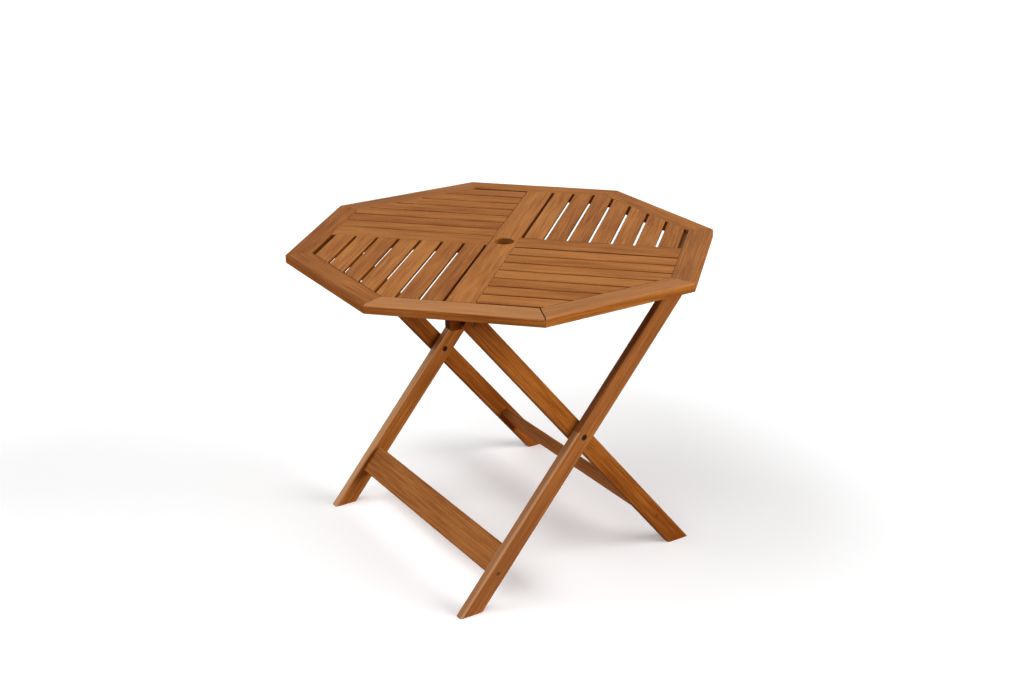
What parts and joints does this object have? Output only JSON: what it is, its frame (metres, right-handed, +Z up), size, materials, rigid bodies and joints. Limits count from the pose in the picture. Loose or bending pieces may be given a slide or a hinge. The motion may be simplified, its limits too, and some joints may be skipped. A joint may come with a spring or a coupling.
{
  "type": "folding umbrella table",
  "caption": "Folding wooden patio table: octagonal slatted top with a round umbrella hole, carried by two crossed leg frames that fold flat under it.",
  "frame": {"origin": "on the floor under the middle of the umbrella hole", "axes": "+X along the fold axis towards the right legs, +Y towards the side whose leg tops slide, +Z up"},
  "size_m": [0.9, 0.9, 0.708],
  "materials": {
    "tabletop_wood": "oiled",
    "frame_wood": "oiled",
    "black_steel": "dark",
    "zinc_steel": "zinc plated"
  },
  "bodies": {
    "hinged_frame": {"hinged_leg_right": "frame_wood", "hinged_leg_left": "frame_wood", "hinged_stretcher": "frame_wood", "hinged_stretcher_screw_right": "black_steel", "hinged_stretcher_screw_left": "black_steel", "pivot_bolt_right": "black_steel", "pivot_bolt_left": "black_steel", "hinge_bolt_right": "zinc_steel", "hinge_bolt_left": "zinc_steel"},
    "tabletop": {"rim_right": "tabletop_wood", "rim_back_right": "tabletop_wood", "rim_back": "tabletop_wood", "rim_back_left": "tabletop_wood", "rim_left": "tabletop_wood", "rim_front_left": "tabletop_wood", "rim_front": "tabletop_wood", "rim_front_right": "tabletop_wood", "cross_stile": "tabletop_wood", "cross_rail_front_left": "tabletop_wood", "cross_rail_back_right": "tabletop_wood", "slat_front_1": "tabletop_wood", "slat_front_2": "tabletop_wood", "slat_front_3": "tabletop_wood", "slat_front_4": "tabletop_wood", "slat_front_5": "tabletop_wood", "slat_front_6": "tabletop_wood", "slat_front_7": "tabletop_wood", "slat_right_1": "tabletop_wood", "slat_right_2": "tabletop_wood", "slat_right_3": "tabletop_wood", "slat_right_4": "tabletop_wood", "slat_right_5": "tabletop_wood", "slat_right_6": "tabletop_wood", "slat_right_7": "tabletop_wood", "slat_back_1": "tabletop_wood", "slat_back_2": "tabletop_wood", "slat_back_3": "tabletop_wood", "slat_back_4": "tabletop_wood", "slat_back_5": "tabletop_wood", "slat_back_6": "tabletop_wood", "slat_back_7": "tabletop_wood", "slat_left_1": "tabletop_wood", "slat_left_2": "tabletop_wood", "slat_left_3": "tabletop_wood", "slat_left_4": "tabletop_wood", "slat_left_5": "tabletop_wood", "slat_left_6": "tabletop_wood", "slat_left_7": "tabletop_wood", "batten_right": "tabletop_wood", "batten_left": "tabletop_wood", "cleat_right": "tabletop_wood", "cleat_left": "tabletop_wood"},
    "sliding_frame": {"sliding_leg_right": "frame_wood", "sliding_leg_left": "frame_wood", "sliding_stretcher": "frame_wood", "sliding_stretcher_screw_right": "black_steel", "sliding_stretcher_screw_left": "black_steel", "slide_peg_right": "zinc_steel", "slide_peg_left": "zinc_steel"}
  },
  "joints": [
    {"name": "top_hinge", "type": "hinge", "parent": "hinged_frame", "child": "tabletop", "pos_m": [0, -0.26, 0.664], "axis": [-1, 0, 0], "range_deg": [0, 46.5]},
    {"name": "leg_pivot", "type": "hinge", "parent": "hinged_frame", "child": "sliding_frame", "pos_m": [0, 0, 0.35], "axis": [-1, 0, 0], "range_deg": [0, 93]}
  ],
  "couplings": [
    {"joint": "leg_pivot", "follows": "top_hinge", "ratio": 2}
  ]
}
